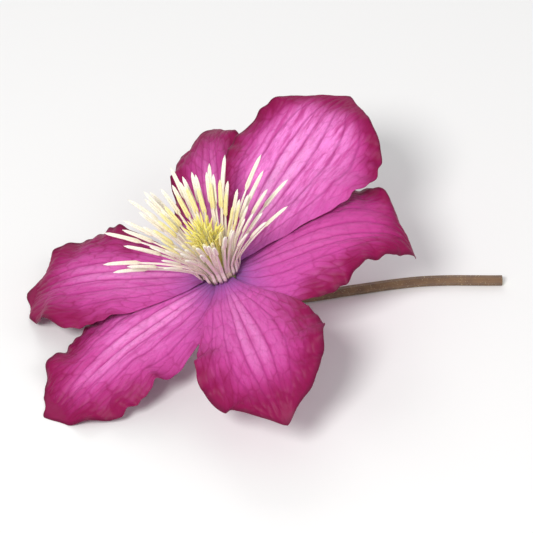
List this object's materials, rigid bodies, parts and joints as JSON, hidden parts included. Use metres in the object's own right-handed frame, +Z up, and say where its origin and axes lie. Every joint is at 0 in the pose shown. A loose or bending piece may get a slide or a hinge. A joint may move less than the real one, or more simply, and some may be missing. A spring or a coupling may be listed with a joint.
{
  "type": "clematis flower",
  "caption": "Large-flowered clematis bloom picked with its stalk and laid face up: broad wavy magenta sepals round spreading cream stamens and a yellow tuft of styles.",
  "frame": {"origin": "on the table, under the middle of the outline of the flower and its stalk seen from above", "axes": "+Z up off the table, +X towards the cut end of the stalk, -Y towards the side that the bloom leans to and is seen from"},
  "size_m": [0.1078, 0.0957, 0.0371],
  "materials": {
    "sepal": "matte",
    "stamens": "matte",
    "styles": "matte",
    "stalk": "matte"
  },
  "bodies": {
    "root": {"stalk": "stalk", "sepal_1": "sepal", "sepal_2": "sepal", "sepal_3": "sepal", "sepal_4": "sepal", "sepal_5": "sepal", "sepal_6": "sepal", "stamens": "stamens", "styles": "styles"}
  },
  "joints": []
}
